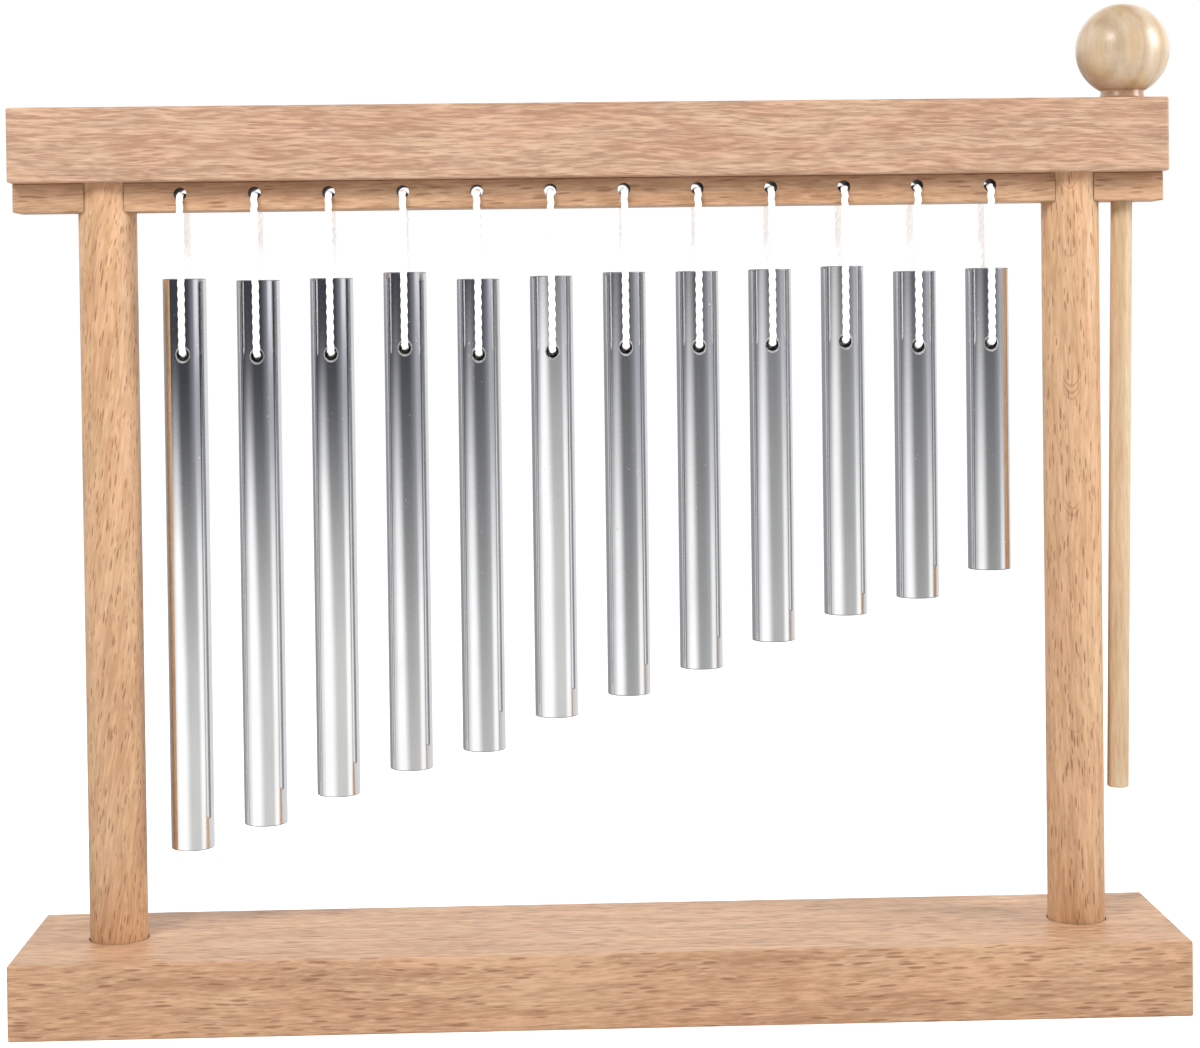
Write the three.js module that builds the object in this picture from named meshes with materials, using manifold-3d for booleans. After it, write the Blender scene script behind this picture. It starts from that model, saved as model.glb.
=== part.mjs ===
// Table bar chime: metal tubes hung by cord loops from a wooden rail, with a ball-headed mallet
// stored upright in a bore at the right end.
// Millimetres. +X runs along the row, the player sits at -Y, +Z is up.
// The origin is the centre of the base board's underside.
import * as THREE from 'three';
import { mergeVertices } from 'three/addons/utils/BufferGeometryUtils.js';
import Module from 'manifold-3d';

const wasm = await Module();
wasm.setup();

// Chimes, longest on the left. The longest one sets the height of the stand.
const longestChimeLength = 158.5;
const shorterThanLongest = [0, 7, 14.5, 20, 27, 35.5, 40.5, 47.5, 54.5, 61, 67, 74];
// Rail hole to chime top: the cords are tied by hand, so each hangs a little differently
const chimeDrops = [23.3, 23.9, 23.6, 22.2, 24.3, 23.7, 22.9, 22.9, 22.6, 22, 23.6, 23];
const chimeDiameter = 12;
const chimeWall = 1;
const chimeRimBreak = 0.3;
const chimeHoleBelowTop = 21;
const chimeHoleChamfer = 0.6;
const chimeFloorGap = 25;

// Cords and the holes they run through
const cordDiameter = 2;
const cordHoleSlack = 1.5;
const cordClearance = 0.3;
const knotDiameter = 4.6;

// Hanging rail, glued under the beam
const railDepth = 12.4;
const railWebBelowHole = 2.95;
const railWebAboveHole = 1.55;
const railEndInset = 0.5;

// Posts
const postDiameter = 16;
const postEndBreak = 0.6;
const postSocketClearance = 0.3;
const firstChimeToPost = 6.9;
const lastChimeToPost = 9.7;

// Base board and beam, of one length. The chimes are spread over what the posts leave of it.
const boardLength = 320;
const boardEndOverhang = 17.5;
const baseDepth = 56;
const baseThickness = 20.5;
const baseSocketDepth = 12;
const beamCheek = 3;
const beamHeight = 20.5;
const beamSocketDepth = 8;
const boardEdgeEase = 1;
const boardCornerRadius = 1.6;

// Mallet, leaning a little in its loose bore
const rodDiameter = 6;
const rodEndBreak = 0.5;
const ballDiameter = 26;
const ballFootDiameter = 12;
const ballFootHeight = 2.1;
const ballSocketDepth = 14;
const malletClearance = 0.3;
const malletLeanDegrees = 0.86;
const malletToPost = 1.2;
const malletTipGap = 37;

// How finely the round forms are cut
const postSides = 36;
const chimeSides = 24;
const holeSides = 12;
const cordSides = 8;
const cordBendSteps = 4;
const cordStrandSteps = 3;
const knotRings = 5;
const ballSides = 24;
const ballRings = 12;
const rodSides = 20;
const edgeSteps = 2;

// Places that follow from the sizes
const cordRadius = cordDiameter / 2;
const cordHoleRadius = (cordDiameter + cordHoleSlack) / 2;
const cordLie = cordRadius + cordClearance;
const chimeRadius = chimeDiameter / 2;
const postRadius = postDiameter / 2;
const postSocketRadius = postRadius + postSocketClearance;
const postX = boardLength / 2 - boardEndOverhang - postRadius;
const firstChimeX = postRadius + firstChimeToPost + chimeRadius - postX;
const lastChimeX = postX - postRadius - lastChimeToPost - chimeRadius;
const chimePitch = (lastChimeX - firstChimeX) / (shorterThanLongest.length - 1);
const chimeX = (i) => firstChimeX + i * chimePitch;
const chimeLengths = shorterThanLongest.map((shorter) => longestChimeLength - shorter);
const beamDepth = postDiameter + 2 * beamCheek;
const hangDepths = chimeLengths.map((length, i) => chimeDrops[i] + length);
const railHoleZ = baseThickness + chimeFloorGap + Math.max(...hangDepths);
const railBottom = railHoleZ - cordHoleRadius - railWebBelowHole;
const railTop = railHoleZ + cordHoleRadius + railWebAboveHole;
const railHalfLength = boardLength / 2 - railEndInset;
const beamTop = railTop + beamHeight;
const postFoot = baseThickness - baseSocketDepth;
const postTop = railTop + beamSocketDepth;

// Mallet axis: through the middle of its bore, with the tip a small gap from the right post
const rodRadius = rodDiameter / 2;
const malletLean = THREE.MathUtils.degToRad(malletLeanDegrees);
const malletTipZ = baseThickness + malletTipGap;
const malletBoreZ = (railBottom + beamTop) / 2;
const malletTipX = postX + postRadius + malletToPost + rodRadius / Math.cos(malletLean);
const malletBoreX = malletTipX + Math.tan(malletLean) * (malletBoreZ - malletTipZ);
const malletBoreReach = Math.tan(malletLean) * (beamTop - malletBoreZ);
const malletBoreRadius = rodRadius / Math.cos(malletLean) + malletBoreReach + malletClearance;

// Solids and cuts

function toSolid(geometry) {
  const bare = geometry.clone();
  bare.deleteAttribute('normal');
  bare.deleteAttribute('uv');
  const merged = mergeVertices(bare, 1e-4);
  const vertProperties = new Float32Array(merged.attributes.position.array);
  const triVerts = new Uint32Array(merged.index.array);
  return new wasm.Manifold(new wasm.Mesh({ numProp: 3, vertProperties, triVerts }));
}

function toGeometry(solid) {
  const mesh = solid.getMesh();
  const geometry = new THREE.BufferGeometry();
  geometry.setAttribute('position', new THREE.BufferAttribute(mesh.vertProperties, 3));
  geometry.setIndex(new THREE.BufferAttribute(mesh.triVerts, 1));
  geometry.computeVertexNormals();
  return geometry;
}

function cut(geometry, cutters) {
  let solid = toSolid(geometry);
  for (const cutter of cutters) {
    solid = solid.subtract(toSolid(cutter));
  }
  return toGeometry(solid);
}

// A solid turned about Z from [radius, height] points
function turned(profile, sides) {
  const points = profile.map(([radius, height]) => new THREE.Vector2(radius, height));
  return new THREE.LatheGeometry(points, sides).rotateX(Math.PI / 2);
}

function uprightPin(radius, fromZ, toZ, sides) {
  return turned([[0, fromZ], [radius, fromZ], [radius, toZ], [0, toZ]], sides);
}

// A round rod about Z with both ends broken
function uprightRod(radius, endBreak, fromZ, toZ, sides) {
  const profile = [
    [0, fromZ],
    [radius - endBreak, fromZ],
    [radius, fromZ + endBreak],
    [radius, toZ - endBreak],
    [radius - endBreak, toZ],
    [0, toZ],
  ];
  return turned(profile, sides);
}

// A board with every edge eased, standing on z = 0. An arc is divided into twice the segments named.
function easedBoard(length, depth, height) {
  const x = length / 2 - boardCornerRadius;
  const y = depth / 2 - boardCornerRadius;
  const outline = new THREE.Shape();
  outline.absarc(x, y, boardCornerRadius, 0, Math.PI / 2);
  outline.absarc(-x, y, boardCornerRadius, Math.PI / 2, Math.PI);
  outline.absarc(-x, -y, boardCornerRadius, Math.PI, 1.5 * Math.PI);
  outline.absarc(x, -y, boardCornerRadius, 1.5 * Math.PI, 2 * Math.PI);
  const board = new THREE.ExtrudeGeometry(outline, {
    depth: height - 2 * boardEdgeEase,
    curveSegments: edgeSteps / 2,
    bevelEnabled: true,
    bevelSize: boardEdgeEase,
    bevelOffset: -boardEdgeEase,
    bevelThickness: boardEdgeEase,
    bevelSegments: edgeSteps,
  });
  return board.translate(0, 0, boardEdgeEase);
}

// Stand

function baseBoard() {
  const board = easedBoard(boardLength, baseDepth, baseThickness);
  const socket = (x) => uprightPin(postSocketRadius, postFoot, 2 * baseThickness, postSides)
    .translate(x, 0, 0);
  return cut(board, [socket(-postX), socket(postX)]);
}

function post() {
  return uprightRod(postRadius, postEndBreak, postFoot, postTop, postSides);
}

const postBore = (x) => uprightPin(postSocketRadius, 0, postTop, postSides)
  .translate(x, 0, 0);

const malletBore = () => uprightPin(malletBoreRadius, 0, 2 * beamTop, holeSides)
  .translate(malletBoreX, 0, 0);

function topBeam() {
  const board = easedBoard(boardLength, beamDepth, beamHeight).translate(0, 0, railTop);
  return cut(board, [postBore(-postX), postBore(postX), malletBore()]);
}

function cordHole(x) {
  return uprightPin(cordHoleRadius, -railDepth, railDepth, holeSides)
    .rotateX(Math.PI / 2)
    .translate(x, 0, railHoleZ);
}

// The posts are thicker than the rail, so their bores part it into a middle and two ends
function railPiece(fromX, toX, cutters) {
  const strip = new THREE.BoxGeometry(toX - fromX, railDepth, railTop - railBottom)
    .translate((fromX + toX) / 2, 0, (railTop + railBottom) / 2);
  return cut(strip, cutters);
}

// Chimes

function chimeTube(length) {
  const inner = chimeRadius - chimeWall;
  const broken = chimeRadius - chimeRimBreak;
  const tube = turned([
    [inner, -length],
    [broken, -length],
    [chimeRadius, chimeRimBreak - length],
    [chimeRadius, -chimeRimBreak],
    [broken, 0],
    [inner, 0],
    [inner, -length],
  ], chimeSides);
  return cut(tube, [chimeHoleCutter()]);
}

// One pin through both walls, flared outside so the hole's rim is countersunk
function chimeHoleCutter() {
  const flareStart = chimeRadius - chimeHoleChamfer;
  const flareEnd = chimeRadius + chimeHoleChamfer;
  const flareRadius = cordHoleRadius + 2 * chimeHoleChamfer;
  return turned([
    [0, -flareEnd],
    [flareRadius, -flareEnd],
    [cordHoleRadius, -flareStart],
    [cordHoleRadius, flareStart],
    [flareRadius, flareEnd],
    [0, flareEnd],
  ], holeSides).rotateX(Math.PI / 2).translate(0, 0, -chimeHoleBelowTop);
}

// Cords

// A route given as places with their own directions, one ring of the cord at each
class CordRoute extends THREE.Curve {
  constructor(stations) {
    super();
    this.stations = stations;
  }

  stationAt(t) {
    return this.stations[Math.round(t * (this.stations.length - 1))];
  }

  getPointAt(t) {
    return this.stationAt(t).place.clone();
  }

  getTangentAt(t) {
    return this.stationAt(t).heading.clone();
  }
}

// Edges in the YZ plane that the loop lies round, from the chime's back hole over the rail to
// its front hole. The chime's rim counts only where it stands out past the straight strand.
function edgesUnderCord(drop) {
  const hole = new THREE.Vector2(chimeRadius, -drop - chimeHoleBelowTop + cordHoleRadius);
  const rim = new THREE.Vector2(chimeRadius, -drop);
  const rail = new THREE.Vector2(railDepth / 2, -cordHoleRadius);
  const strand = rail.clone().sub(hole);
  const rimStandsOut = strand.cross(rim.clone().sub(hole)) < 0;
  const back = rimStandsOut ? [hole, rim, rail] : [hole, rail];
  const front = [...back].reverse().map((edge) => new THREE.Vector2(-edge.x, edge.y));
  return [...back, ...front];
}

// The taut loop: straight runs between the edges, and a round bend about each edge.
// It starts and ends at the knot, in the middle of the chime.
function cordStations(drop) {
  const edges = edgesUnderCord(drop);
  const bottom = edges[0].y - cordLie;
  const start = new THREE.Vector2(0, bottom);
  const runs = edges.map((edge, i) => (i ? edge.clone().sub(edges[i - 1]) : new THREE.Vector2(1, 0)));
  runs.push(new THREE.Vector2(1, 0));
  const angles = runs.map((run) => Math.atan2(run.y, run.x));
  for (let i = 1; i < angles.length; i += 1) {
    while (angles[i] < angles[i - 1]) angles[i] += 2 * Math.PI;
  }
  const stations = [station(start, 0)];
  edges.forEach((edge, i) => {
    if (i) addRun(stations, bendPoint(edge, angles[i]), angles[i]);
    for (let step = 0; step <= cordBendSteps; step += 1) {
      const angle = THREE.MathUtils.lerp(angles[i], angles[i + 1], step / cordBendSteps);
      stations.push(station(bendPoint(edge, angle), angle));
    }
  });
  stations.push(station(start, 2 * Math.PI));
  return stations;
}

// The point of the bend about an edge where the cord heads at the given angle
function bendPoint(edge, angle) {
  return new THREE.Vector2(edge.x + cordLie * Math.sin(angle), edge.y - cordLie * Math.cos(angle));
}

function station(point, angle) {
  return {
    place: new THREE.Vector3(0, point.x, point.y),
    heading: new THREE.Vector3(0, Math.cos(angle), Math.sin(angle)),
  };
}

// Rings along a straight run, between the last station and the next bend
function addRun(stations, end, angle) {
  const from = stations[stations.length - 1].place;
  for (let step = 1; step < cordStrandSteps; step += 1) {
    const t = step / cordStrandSteps;
    const point = new THREE.Vector2(from.y, from.z).lerp(end, t);
    stations.push(station(point, angle));
  }
}

function cordLoop(drop) {
  const route = new CordRoute(cordStations(drop));
  const section = new THREE.Shape().absarc(0, 0, cordRadius, 0, 2 * Math.PI);
  const loop = new THREE.ExtrudeGeometry(section, {
    steps: route.stations.length - 1,
    curveSegments: cordSides / 2,
    extrudePath: route,
  });
  const knot = new THREE.SphereGeometry(knotDiameter / 2, cordSides, knotRings);
  const knotPlace = route.stations[0].place;
  knot.translate(knotPlace.x, knotPlace.y, knotPlace.z);
  return toGeometry(toSolid(loop).add(toSolid(knot)));
}

// Mallet, drawn upright from the underside of the ball's foot

function malletBall() {
  const radius = ballDiameter / 2;
  const footRadius = ballFootDiameter / 2;
  const footAngle = Math.asin(footRadius / radius);
  const centre = ballFootHeight + radius * Math.cos(footAngle);
  const profile = [[0, 0], [footRadius, 0]];
  for (let ring = 0; ring < ballRings; ring += 1) {
    const angle = THREE.MathUtils.lerp(footAngle, Math.PI, ring / ballRings);
    profile.push([radius * Math.sin(angle), centre - radius * Math.cos(angle)]);
  }
  profile.push([0, centre + radius]);
  const socket = uprightPin(rodRadius + malletClearance, -radius, ballSocketDepth, rodSides);
  return cut(turned(profile, ballSides), [socket]);
}

function malletRod(reach) {
  return uprightRod(rodRadius, rodEndBreak, -reach, ballSocketDepth - malletClearance, rodSides);
}

// Assembly

const beech = { color: 0xd9ab82, roughness: 0.6, metalness: 0 };
const palerBeech = { color: 0xdcb389, roughness: 0.6, metalness: 0 };
const birch = { color: 0xe2c9a0, roughness: 0.35, metalness: 0 };
const aluminium = { color: 0xc9cbce, roughness: 0.22, metalness: 1 };
const whiteCord = { color: 0xf2f1ee, roughness: 0.9, metalness: 0 };

const barChime = new THREE.Group();

function add(parent, name, geometry, finish, x = 0, z = 0) {
  const mesh = new THREE.Mesh(geometry, new THREE.MeshStandardMaterial(finish));
  mesh.name = name;
  mesh.position.set(x, 0, z);
  parent.add(mesh);
}

add(barChime, 'base_board', baseBoard(), beech);
add(barChime, 'post_left', post(), palerBeech, -postX);
add(barChime, 'post_right', post(), palerBeech, postX);
add(barChime, 'top_beam', topBeam(), beech);

const cordHoles = chimeLengths.map((_, i) => cordHole(chimeX(i)));
const leftBore = postBore(-postX);
const rightBore = postBore(postX);
add(barChime, 'rail_end_left', railPiece(-railHalfLength, -postX, [leftBore]), beech);
add(barChime, 'hanging_rail', railPiece(-postX, postX, [leftBore, rightBore, ...cordHoles]), beech);
add(barChime, 'rail_end_right', railPiece(postX, railHalfLength, [rightBore, malletBore()]), beech);

chimeLengths.forEach((length, i) => {
  const number = String(i + 1).padStart(2, '0');
  const chime = new THREE.Group();
  chime.position.set(chimeX(i), 0, railHoleZ);
  barChime.add(chime);
  add(chime, `chime_cord_${number}`, cordLoop(chimeDrops[i]), whiteCord);
  add(chime, `chime_tube_${number}`, chimeTube(length), aluminium, 0, -chimeDrops[i]);
});

// The foot stands clear of the beam by the same clearance at its lower edge
const footTilt = (ballFootDiameter / 2) * Math.sin(malletLean);
const footZ = beamTop + malletClearance + footTilt;
const footX = malletBoreX + Math.tan(malletLean) * (footZ - malletBoreZ);
const mallet = new THREE.Group();
mallet.position.set(footX, 0, footZ);
mallet.rotation.y = malletLean;
barChime.add(mallet);
add(mallet, 'mallet_ball', malletBall(), birch);
add(mallet, 'mallet_rod', malletRod((footZ - malletTipZ) / Math.cos(malletLean)), birch);

export default barChime;
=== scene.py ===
import math
from functools import partial

import bmesh
import bpy
from mathutils import Matrix, Vector


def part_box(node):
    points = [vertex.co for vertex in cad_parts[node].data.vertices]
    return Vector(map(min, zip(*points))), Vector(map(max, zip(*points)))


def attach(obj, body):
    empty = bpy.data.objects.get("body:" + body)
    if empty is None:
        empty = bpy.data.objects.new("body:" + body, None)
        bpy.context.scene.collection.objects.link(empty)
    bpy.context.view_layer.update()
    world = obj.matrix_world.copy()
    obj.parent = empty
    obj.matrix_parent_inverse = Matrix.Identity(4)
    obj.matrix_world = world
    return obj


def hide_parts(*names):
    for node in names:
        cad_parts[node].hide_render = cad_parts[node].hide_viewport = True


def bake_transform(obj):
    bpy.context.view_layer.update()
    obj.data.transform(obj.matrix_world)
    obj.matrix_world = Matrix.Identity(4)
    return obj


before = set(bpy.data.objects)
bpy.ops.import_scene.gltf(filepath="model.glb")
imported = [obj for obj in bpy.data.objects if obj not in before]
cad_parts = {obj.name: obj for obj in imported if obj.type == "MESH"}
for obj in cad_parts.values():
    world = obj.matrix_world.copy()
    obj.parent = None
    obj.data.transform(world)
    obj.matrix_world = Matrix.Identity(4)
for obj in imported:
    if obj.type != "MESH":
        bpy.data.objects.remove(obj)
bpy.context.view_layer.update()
scene = bpy.context.scene

MM = 0.001
CHIMES = 12

# Sizes that the frame's boxes don't give
CORD_RADIUS = 1.0 * MM
CORD_CLEARANCE = 0.3 * MM
CORD_LAY = 8.4 * MM
CORD_STRANDS = 3
STRAND_GROOVE = 0.28
CORD_SNAKING = 0.06 * MM
CORD_STEP = 0.45 * MM
CORD_HOLE_RADIUS = 1.75 * MM
KNOT_SCALE = 0.72 * MM
KNOT_BELOW_LINE = 0.7 * MM
RAIL_HOLE_ABOVE_EDGE = 4.7 * MM
TUBE_HOLE_BELOW_TOP = 21 * MM
TUBE_WALL = 1.0 * MM
TUBE_RIM_BREAK = 0.25 * MM
COUNTERSINK = 0.6 * MM
BOARD_EASE = 0.6 * MM
RAIL_EASE = 0.4 * MM
POST_END_BREAK = 0.6 * MM
SOCKET_CLEARANCE = 0.3 * MM
BASE_SOCKET_DEPTH = 12 * MM
BEAM_SOCKET_DEPTH = 8 * MM
MALLET_BORE_RADIUS = 3.51 * MM
MALLET_BORE_X = 149.39 * MM
MALLET_LEAN = math.radians(0.86)
MALLET_ABOVE_BEAM = 0.3 * MM
BALL_FOOT_RADIUS = 6 * MM
BALL_FOOT_HEIGHT = 2.1 * MM
BALL_FOOT_ROUND = 0.3 * MM
BALL_SOCKET_DEPTH = 14 * MM
ROD_END_BREAK = 0.5 * MM

# Sides and steps of the round shapes
TURNED_SIDES = 96
BALL_RINGS = 48
BORE_SIDES = 48
TUBE_SIDES = 96
TUBE_HOLE_SIDES = 40
CORD_SIDES = 18
CORD_BEND_STEPS = 10
KNOT_STEPS = 60
CORNER_STEPS = 4

# How near to a round wall a point has to be to lie on it
ON_WALL = 0.02 * MM

# How far each tube's polish leans back at its top, in degrees, and how much that grows over a
# span down the tube, so that each shows the room a little differently
LEAN_SPAN = 100 * MM
TUBE_LEAN = ((0.0, 0.4), (0.2, 0.3), (0.2, 1.0), (0.9, -1.2), (1.3, -1.7), (2.8, -0.8),
             (1.8, -2.5), (2.1, -2.6), (2.6, -2.4), (2.7, -2.4), (2.1, -2.4), (1.9, -2.3))

# Brightness of the room ahead as light on the wood, against the white backdrop as 1
ROOM_LIGHT = 0.12
# Painted glow that the cord adds to its own brightness, though it is no lamp
CORD_PAINTED_GLOW = 0.38
# What the floor adds to the light on it, so that it stays near white to the far edge
FLOOR_GLOW = 0.6


# Places from the frame

def box_of(node):
    low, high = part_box(node)
    return Vector(low), Vector(high)


def middle_of(node):
    low, high = box_of(node)
    return (low + high) / 2


# Building pieces

def show(name, mesh, material, body, slot, *nodes):
    """A finished piece that rides on a body and stands for CAD nodes."""
    piece = bpy.data.objects.new(name, mesh)
    scene.collection.objects.link(piece)
    mesh.materials.clear()
    mesh.materials.append(material)
    if body:
        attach(piece, body)
    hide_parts(*nodes)
    return piece


def loose(name, mesh):
    """A piece on the bench, not yet part of the chime."""
    piece = bpy.data.objects.new(name, mesh)
    scene.collection.objects.link(piece)
    return piece


def taken(piece):
    """The mesh that the piece's modifiers make, with the piece itself put away."""
    depsgraph = bpy.context.evaluated_depsgraph_get()
    mesh = bpy.data.meshes.new_from_object(piece.evaluated_get(depsgraph))
    mesh.name = piece.name
    bpy.data.objects.remove(piece)
    return mesh


def soften(mesh, crease_degrees=35):
    """Smooth shading with creases where faces meet at more than the angle."""
    mesh.shade_smooth()
    mesh.set_sharp_from_angle(angle=math.radians(crease_degrees))
    return mesh


def as_mesh(name, shape):
    mesh = bpy.data.meshes.new(name)
    shape.to_mesh(mesh)
    shape.free()
    return mesh


def turned(name, profile):
    """A solid turned about Z from (radius, height) points, from axis to axis."""
    shape = bmesh.new()
    angles = [2 * math.pi * side / TURNED_SIDES for side in range(TURNED_SIDES)]
    rings = []
    for radius, height in profile[1:-1]:
        rings.append([
            shape.verts.new((radius * math.cos(angle), radius * math.sin(angle), height))
            for angle in angles
        ])
    bottom = shape.verts.new((0, 0, profile[0][1]))
    top = shape.verts.new((0, 0, profile[-1][1]))
    for side in range(TURNED_SIDES):
        after = (side + 1) % TURNED_SIDES
        shape.faces.new((bottom, rings[0][after], rings[0][side]))
        for low, high in zip(rings, rings[1:]):
            shape.faces.new((low[side], low[after], high[after], high[side]))
        shape.faces.new((top, rings[-1][side], rings[-1][after]))
    return as_mesh(name, shape)


def rounded(radius, height, corner):
    """Profile points of an outer corner at (radius, height), rounded; corner < 0 is a lower one."""
    size = abs(corner)
    centre = height - corner
    points = []
    for step in range(CORNER_STEPS + 1):
        angle = math.pi / 2 * step / CORNER_STEPS
        points.append((radius - size + size * math.sin(angle), centre + corner * math.cos(angle)))
    return points if corner < 0 else list(reversed(points))


def dowel(name, radius, low, high, end_break):
    profile = [(0, low)]
    profile += rounded(radius, low, -end_break)
    profile += rounded(radius, high, end_break)
    profile.append((0, high))
    return turned(name, profile)


def eased_board(name, low, high, ease):
    size = high - low
    centre = (high + low) / 2
    shape = bmesh.new()
    place = Matrix.Translation(centre) @ Matrix.Diagonal((*size, 1))
    bmesh.ops.create_cube(shape, size=1, matrix=place)
    bmesh.ops.bevel(shape, geom=shape.edges[:], offset=ease, segments=CORNER_STEPS, profile=0.5,
                    affect="EDGES", clamp_overlap=True)
    return as_mesh(name, shape)


def pins(name, spots):
    """Round cutters, each (centre, radius, length, axis), in one mesh."""
    shape = bmesh.new()
    for centre, radius, length, axis in spots:
        turn = Vector((0, 0, 1)).rotation_difference(Vector(axis)).to_matrix().to_4x4()
        bmesh.ops.create_cone(shape, cap_ends=True, segments=BORE_SIDES, depth=length,
                              radius1=radius, radius2=radius,
                              matrix=Matrix.Translation(centre) @ turn)
    return as_mesh(name, shape)


def mark_bores(mesh, spots):
    """Marks the faces that lie on the round cutters, which get a painted shade, near black, darker
    than the faces outside.
    """
    marks = mesh.attributes.new("bored", "FLOAT", "FACE").data
    for centre, radius, _, axis in spots:
        along = Vector(axis)
        for face, mark in zip(mesh.polygons, marks):
            arms = [mesh.vertices[i].co - centre for i in face.vertices]
            gaps = [(arm - along * arm.dot(along)).length - radius for arm in arms]
            if max(map(abs, gaps)) < ON_WALL:
                mark.value = 1.0


def cut(mesh, spots):
    """The mesh with round holes in it, and their walls marked."""
    piece = loose(mesh.name, mesh)
    tool = loose("cutter", pins("cutter", spots))
    hole = piece.modifiers.new("bores", "BOOLEAN")
    hole.object = tool
    hole.operation = "DIFFERENCE"
    hole.solver = "EXACT"
    mesh = taken(piece)
    bpy.data.objects.remove(tool)
    mark_bores(mesh, spots)
    return mesh


def flat_faced(mesh):
    """Shading that keeps the board's faces flat and its eased edges round."""
    soften(mesh, crease_degrees=50)
    piece = loose(mesh.name, mesh)
    weigh = piece.modifiers.new("flat faces", "WEIGHTED_NORMAL")
    weigh.keep_sharp = True
    return taken(piece)


# Node building

def plug(tree, value, socket):
    """Sets a socket to a value, or links another node's output to it."""
    if isinstance(value, bpy.types.NodeSocket):
        tree.links.new(value, socket)
    else:
        socket.default_value = value


def add(tree, kind, inputs=None, **settings):
    """A node with its settings and its inputs, each a value or another node's output."""
    made = tree.nodes.new(kind)
    for name, value in settings.items():
        setattr(made, name, value)
    for name, value in (inputs or {}).items():
        plug(tree, value, made.inputs[name])
    return made


def maths(tree, operation, *values):
    made = add(tree, "ShaderNodeMath", dict(enumerate(values)), operation=operation)
    return made.outputs[0]


def vectors(tree, operation, *values):
    made = add(tree, "ShaderNodeVectorMath", dict(enumerate(values)), operation=operation)
    return made.outputs[0]


def xyz(tree, x, y, z):
    return add(tree, "ShaderNodeCombineXYZ", {"X": x, "Y": y, "Z": z}).outputs[0]


def wave(tree, angle):
    """A sine between 0 and 1."""
    return maths(tree, "MULTIPLY_ADD", maths(tree, "SINE", angle), 0.5, 0.5)


def ramp(tree, value, start, end, full=1.0, easing="SMOOTHSTEP"):
    """From 0 where the value is at the start to full where it is at the end."""
    return add(tree, "ShaderNodeMapRange", {
        "Value": value, "From Min": start, "From Max": end, "To Max": full,
    }, interpolation_type=easing).outputs[0]


def noise(tree, place, detail, scale=1.0):
    """Soft random clouds, as the outputs Fac and Color."""
    return add(tree, "ShaderNodeTexNoise", {
        "Vector": place, "Scale": scale, "Detail": detail,
    }).outputs


def blend_colour(tree, factor, first, second, kind="MIX"):
    """Mixes colours, which the mix node takes at inputs 6 and 7 and gives at output 2."""
    made = add(tree, "ShaderNodeMix", data_type="RGBA", blend_type=kind)
    plug(tree, factor, made.inputs[0])
    plug(tree, first, made.inputs[6])
    plug(tree, second, made.inputs[7])
    return made.outputs[2]


def grey(brightness):
    return (brightness, brightness, brightness, 1)


def effect(name, inputs, outputs):
    """An empty shader node group with named sockets, and its input and output nodes."""
    group = bpy.data.node_groups.new(name, "ShaderNodeTree")
    for label, kind, value in inputs:
        socket = group.interface.new_socket(label, in_out="INPUT", socket_type=kind)
        if value is not None:
            socket.default_value = value
    for label, kind in outputs:
        group.interface.new_socket(label, in_out="OUTPUT", socket_type=kind)
    given = group.nodes.new("NodeGroupInput").outputs
    result = group.nodes.new("NodeGroupOutput").inputs
    return group, given, result


FLOAT = "NodeSocketFloat"
COLOUR = "NodeSocketColor"
VECTOR = "NodeSocketVector"


# Effects that the materials use

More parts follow.
